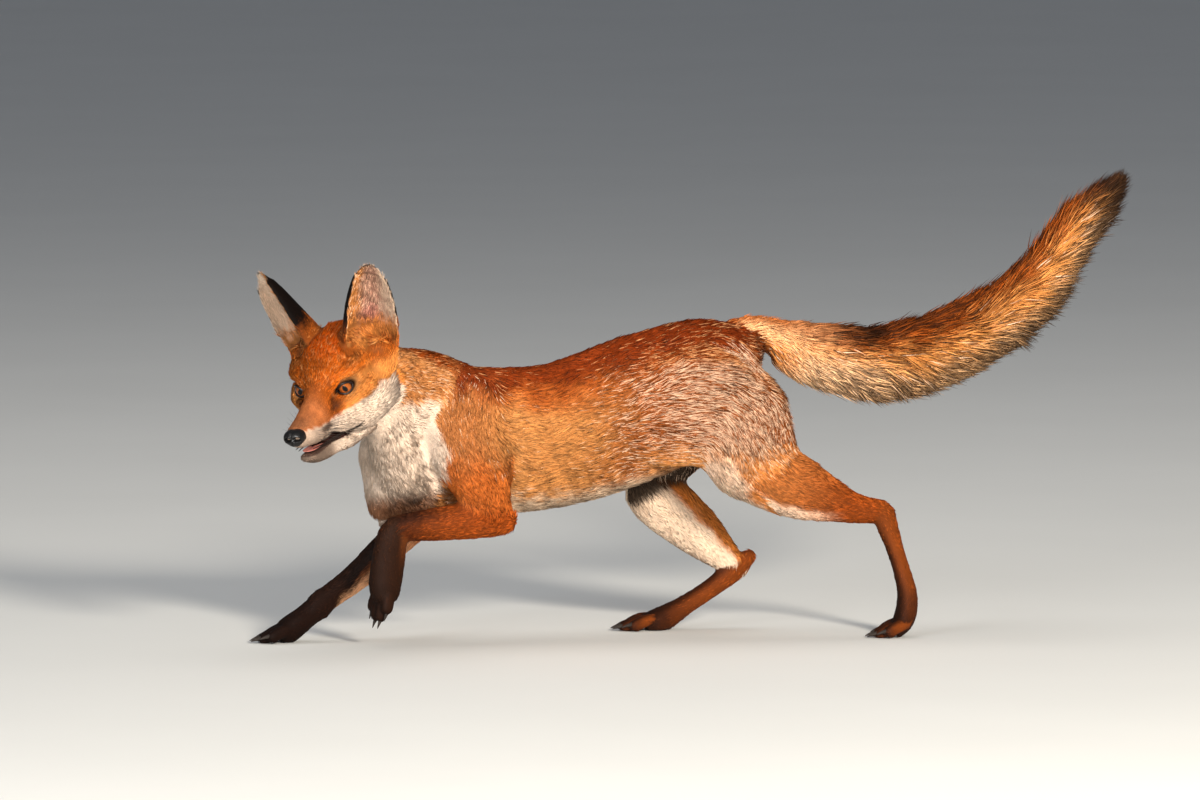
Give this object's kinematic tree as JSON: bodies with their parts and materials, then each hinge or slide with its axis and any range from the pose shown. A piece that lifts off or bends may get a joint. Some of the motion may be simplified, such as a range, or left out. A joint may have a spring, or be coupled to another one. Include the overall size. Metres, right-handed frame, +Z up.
{
  "type": "red fox",
  "caption": "Life-size still model of a slender red fox in mid-run, head turned to its left, brush raised, resting on three paws.",
  "frame": {"origin": "centre of the bounding box's underside, at floor level", "axes": "-X the way that the fox runs, -Y its left side, +Z up"},
  "size_m": [0.865, 0.2282, 0.4315],
  "materials": {
    "coat_rust": "short rust-red fur, matt",
    "coat_white": "soft cream-white fur, matt",
    "coat_dark": "short black-brown fur, matt",
    "coat_brush": "long coarse brush hair, rusty with dark tips",
    "nose": "black pebbled skin, moist",
    "claw": "dark horn, smooth",
    "tongue": "pink, moist",
    "eye": "amber iris under a clear wet cornea"
  },
  "bodies": {
    "root": {"trunk": "coat_rust", "neck": "coat_rust", "head": "coat_rust", "jaw": "coat_white", "tongue": "tongue", "nose": "nose", "ear_left": "coat_rust", "ear_right": "coat_rust", "eye_left": "eye", "eye_right": "eye", "tail_base": "coat_brush", "tail_middle": "coat_brush", "tail_tip": "coat_dark", "fore_left_upper_arm": "coat_rust", "fore_left_forearm": "coat_rust", "fore_left_paw": "coat_dark", "hind_left_thigh": "coat_rust", "hind_left_shank": "coat_rust", "hind_left_foot": "coat_dark", "fore_right_upper_arm": "coat_rust", "fore_right_forearm": "coat_rust", "fore_right_paw": "coat_dark", "hind_right_thigh": "coat_rust", "hind_right_shank": "coat_rust", "hind_right_foot": "coat_dark"}
  },
  "joints": []
}
